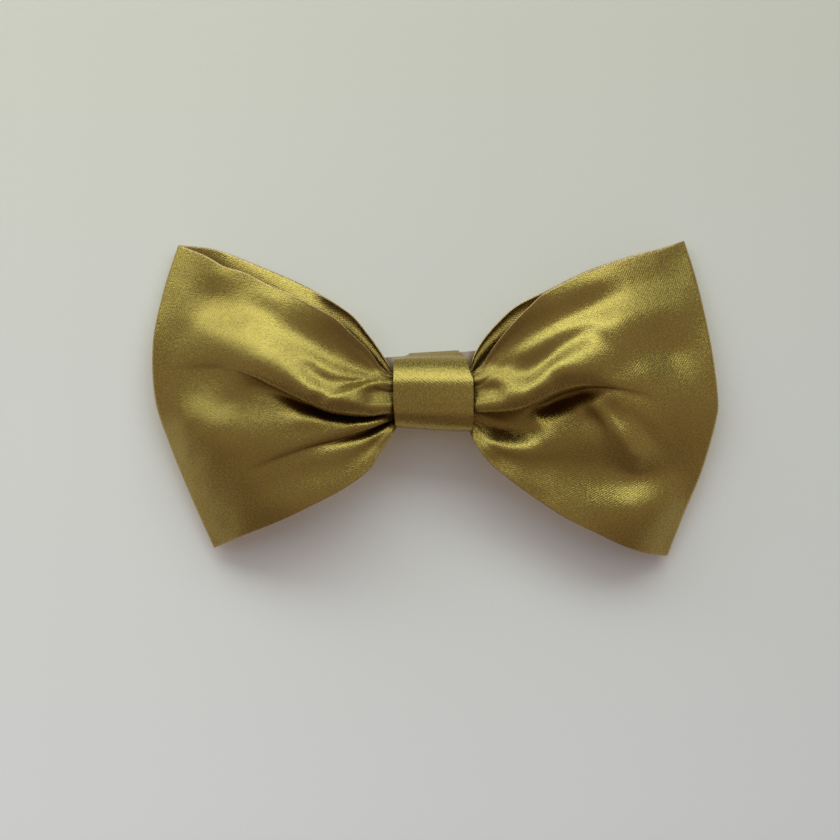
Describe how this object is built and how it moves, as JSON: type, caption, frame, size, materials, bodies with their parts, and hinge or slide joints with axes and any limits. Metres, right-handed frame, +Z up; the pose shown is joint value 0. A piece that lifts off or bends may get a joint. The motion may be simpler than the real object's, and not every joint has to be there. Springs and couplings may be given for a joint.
{
  "type": "satin bow barrette",
  "caption": "Gathered satin bow of two open folded loops with a knot band, mounted on a spring barrette clip with a hinged clasp arm, tension bar and barbed catch.",
  "frame": {"origin": "middle of the clasp arm's flat back face, where the closed clip bears on what it is worn on", "axes": "+X to the right as the bow is looked at, along its longest extent; +Z up; the bow faces -Y and +Y is the clasp arm's outward normal"},
  "size_m": [0.1798, 0.0347, 0.1002],
  "materials": {
    "satin": "olive-gold satin weave with a directional sheen",
    "thread": "twisted thread, matt",
    "plated_steel": "nickel plated, lightly worn",
    "spring_steel": "spring steel, satin rolled surface"
  },
  "bodies": {
    "bow": {"bow_strip": "satin", "knot_band": "satin", "gather_thread": "thread", "band_stitches": "thread", "base_plate": "plated_steel", "hinge_pin": "plated_steel", "catch_plate": "plated_steel", "catch_rivet": "plated_steel"},
    "clasp_arm": {"clasp_arm": "plated_steel"},
    "tension_bar": {"tension_bar": "spring_steel"},
    "upper_prong": {"upper_prong": "spring_steel"},
    "lower_prong": {"lower_prong": "spring_steel"}
  },
  "joints": [
    {"name": "clasp_hinge", "type": "hinge", "parent": "bow", "child": "clasp_arm", "pos_m": [-0.03291, -0.00165, -0.00242], "axis": [-0.0732, 0, 0.9973], "range_deg": [0, 80]},
    {"name": "tension_bar_pivot", "type": "hinge", "parent": "bow", "child": "tension_bar", "pos_m": [-0.03211, -0.00395, -0.00236], "axis": [-0.0732, 0, 0.9973], "range_deg": [0, 24]},
    {"name": "upper_prong_flex", "type": "hinge", "parent": "bow", "child": "upper_prong", "pos_m": [0.03153, -0.00422, 0.00349], "axis": [-0.9973, 0, -0.0732], "range_deg": [0, 8]},
    {"name": "lower_prong_flex", "type": "hinge", "parent": "bow", "child": "lower_prong", "pos_m": [0.0317, -0.00422, 0.00115], "axis": [0.9973, 0, 0.0732], "range_deg": [0, 8]}
  ],
  "couplings": [
    {"joint": "tension_bar_pivot", "follows": "clasp_hinge", "ratio": 0.3}
  ]
}
